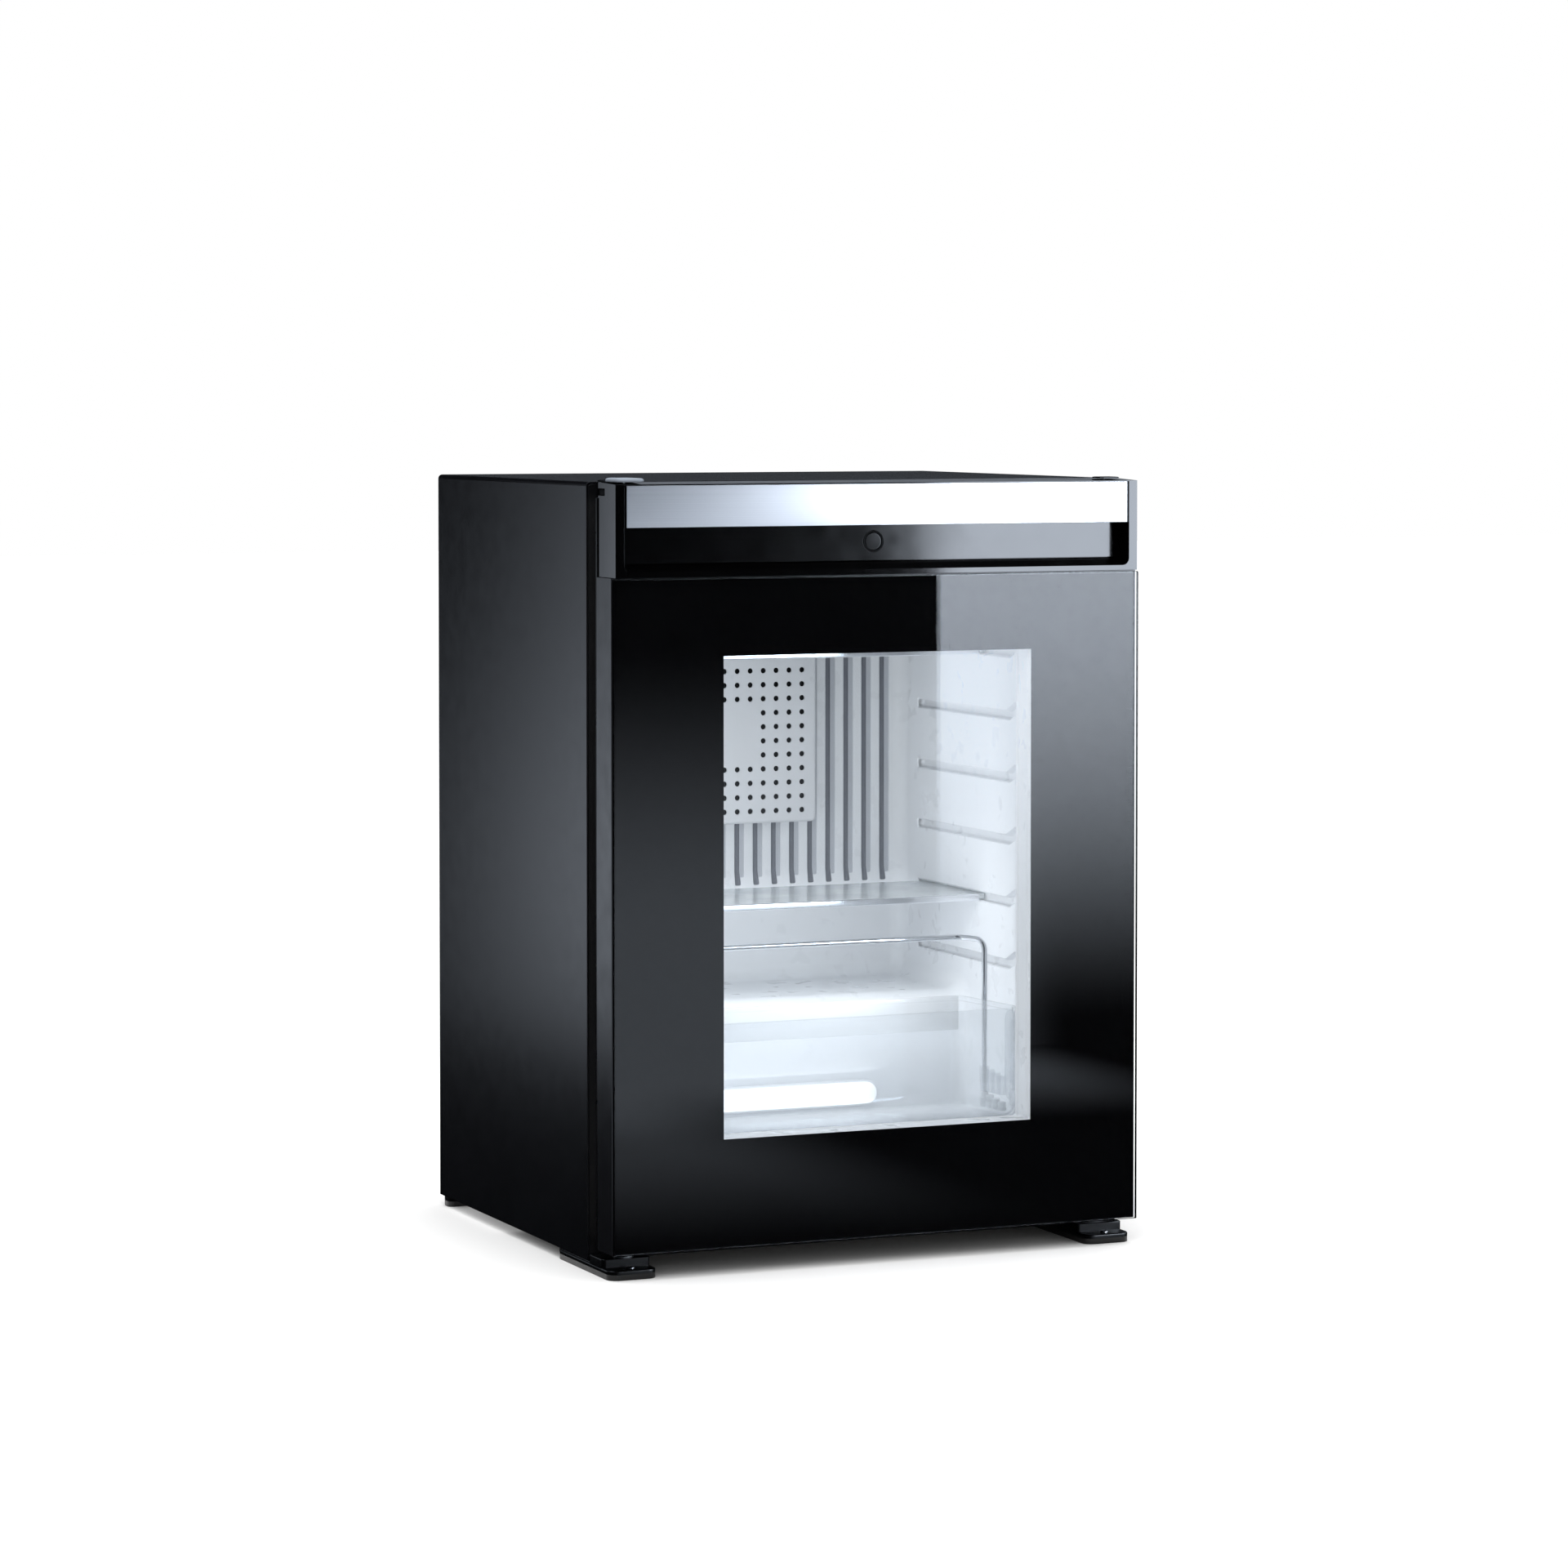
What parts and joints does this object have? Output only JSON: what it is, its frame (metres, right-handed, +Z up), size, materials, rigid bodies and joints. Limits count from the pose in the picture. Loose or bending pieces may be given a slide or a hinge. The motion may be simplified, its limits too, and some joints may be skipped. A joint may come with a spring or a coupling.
{
  "type": "minibar fridge",
  "caption": "Free-standing minibar fridge with a hinged glass door, recessed grip, sliding shelves, a door bin with a wire guard and an absorption cooling unit on its back.",
  "frame": {"origin": "middle of the bounding box of the closed fridge, on the floor it stands on", "axes": "+Z up, -Y towards the user in front of the door, +X to the right seen from the front; the door hinges on the -X side"},
  "size_m": [0.402, 0.454, 0.5517],
  "materials": {
    "charcoal_steel": "satin",
    "door_rim": "satin",
    "white_plastic": "satin",
    "foam": "matte",
    "black_plastic": "satin",
    "clear_glass": "polished",
    "black_gloss": "gloss",
    "brushed_steel": "brushed",
    "chrome_wire": "polished",
    "clear_plastic": "gloss",
    "lamp_lens": "gloss",
    "rubber": "matte",
    "grey_plastic": "satin",
    "zinc_steel": "satin",
    "aluminium": "satin",
    "black_tube": "satin"
  },
  "bodies": {
    "cabinet": {"outer_wrap": "charcoal_steel", "base_pan": "charcoal_steel", "rear_panel": "charcoal_steel", "rear_bar": "charcoal_steel", "inner_liner": "white_plastic", "cooling_cover": "white_plastic", "light_base": "white_plastic", "light_lens": "lamp_lens", "insulation_foam": "foam", "front_frame": "black_plastic", "front_foot_left": "black_plastic", "front_foot_right": "black_plastic", "rear_foot_left": "black_plastic", "rear_foot_right": "black_plastic", "foot_screw_left": "zinc_steel", "foot_screw_right": "zinc_steel", "upper_hinge_bracket": "grey_plastic", "upper_hinge_pin": "zinc_steel", "lower_hinge_pin": "zinc_steel", "cold_pipe": "zinc_steel", "cooling_plate": "aluminium", "unit_plate": "zinc_steel", "unit_bracket_left": "zinc_steel", "unit_bracket_right": "zinc_steel", "boiler_case": "zinc_steel", "absorber_coil": "black_tube", "absorber_vessel": "black_tube", "condenser": "black_tube", "electrics_box": "black_plastic", "cable_gland": "black_plastic"},
    "door": {"door_glass": "clear_glass", "glass_mask": "black_gloss", "door_frame": "door_rim", "inner_panel": "white_plastic", "rear_pane": "clear_glass", "door_insulation": "foam", "door_gasket": "rubber", "door_top_trim": "black_plastic", "grip_lip": "black_plastic", "steel_strip": "brushed_steel", "grip_back_plate": "black_gloss", "button_bezel": "brushed_steel", "right_top_plug": "black_plastic", "bottle_bin": "clear_plastic", "bin_strip": "brushed_steel", "bin_hook_left": "clear_plastic", "bin_hook_right": "clear_plastic", "guard_sockets_left": "clear_plastic", "guard_sockets_right": "clear_plastic"},
    "lower_shelf": {"lower_shelf_pane": "clear_glass", "lower_shelf_trim": "brushed_steel"},
    "upper_shelf": {"upper_shelf_pane": "clear_glass", "upper_shelf_trim": "brushed_steel"},
    "button": {"grip_button": "black_plastic"},
    "guard": {"bottle_guard": "chrome_wire"}
  },
  "joints": [
    {"name": "door_hinge", "type": "hinge", "parent": "cabinet", "child": "door", "pos_m": [-0.184, -0.2, 0.2], "axis": [0, 0, -1], "range_deg": [0, 105]},
    {"name": "lower_shelf_slide", "type": "slide", "parent": "cabinet", "child": "lower_shelf", "axis": [0, -1, 0], "range_m": [0, 0.05]},
    {"name": "upper_shelf_slide", "type": "slide", "parent": "cabinet", "child": "upper_shelf", "axis": [0, -1, 0], "range_m": [0, 0.05]},
    {"name": "button_press", "type": "slide", "parent": "door", "child": "button", "axis": [0, 1, 0], "range_m": [0, 0.001], "stiffness_N_per_m": 400},
    {"name": "guard_lift", "type": "slide", "parent": "door", "child": "guard", "axis": [0, 0, 1], "range_m": [0, 0.015]}
  ]
}
